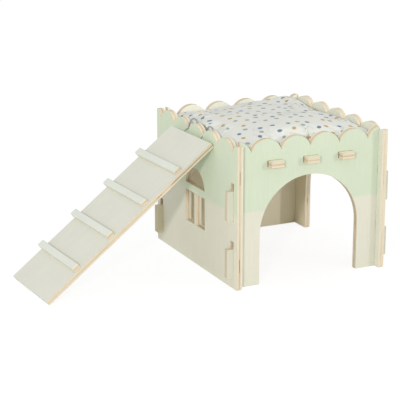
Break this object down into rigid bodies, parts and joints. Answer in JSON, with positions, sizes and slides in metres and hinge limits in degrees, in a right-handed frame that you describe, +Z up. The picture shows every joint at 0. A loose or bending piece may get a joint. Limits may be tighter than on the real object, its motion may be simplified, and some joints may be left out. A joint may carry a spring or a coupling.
{
  "type": "wooden rabbit house",
  "caption": "Slot-together plywood rabbit house with scalloped panels, arched doorways, a barred window, a roof cushion and a cleated ramp tied to one side.",
  "frame": {"origin": "on the floor, in the middle of the outline of the house and its ramp together", "axes": "+X from the ramp to the doorway side, +Y from the front to the back, +Z up"},
  "size_m": [0.6968, 0.362, 0.2963],
  "materials": {
    "painted_panel": "matt water paint, pale green above fading to cream below, bare ply edges",
    "deck_wood": "matt cream paint, bare ply edges",
    "ramp_wood": "matt cream-green paint, bare ply edges",
    "tie_cord": "twisted dark cord",
    "cushion_fabric": "soft woven cotton with small coloured dots"
  },
  "bodies": {
    "house": {"left_side_panel": "painted_panel", "right_side_panel": "painted_panel", "front_panel": "painted_panel", "back_panel": "painted_panel", "deck": "deck_wood", "ramp_tie": "tie_cord"},
    "ramp": {"ramp_board": "ramp_wood", "ramp_cleat_1": "ramp_wood", "ramp_cleat_2": "ramp_wood", "ramp_cleat_3": "ramp_wood", "ramp_cleat_4": "ramp_wood"},
    "cushion": {"cushion": "cushion_fabric"}
  },
  "joints": [
    {"name": "ramp_hinge", "type": "hinge", "parent": "house", "child": "ramp", "pos_m": [0.01014, -0.0839, 0.2573], "axis": [-0.0523, 0.9986, 0], "range_deg": [0, 36], "deforming": ["ramp_tie"]},
    {"name": "cushion_lift", "type": "slide", "parent": "house", "child": "cushion", "axis": [0, 0, 1], "range_m": [0, 0.055]}
  ]
}
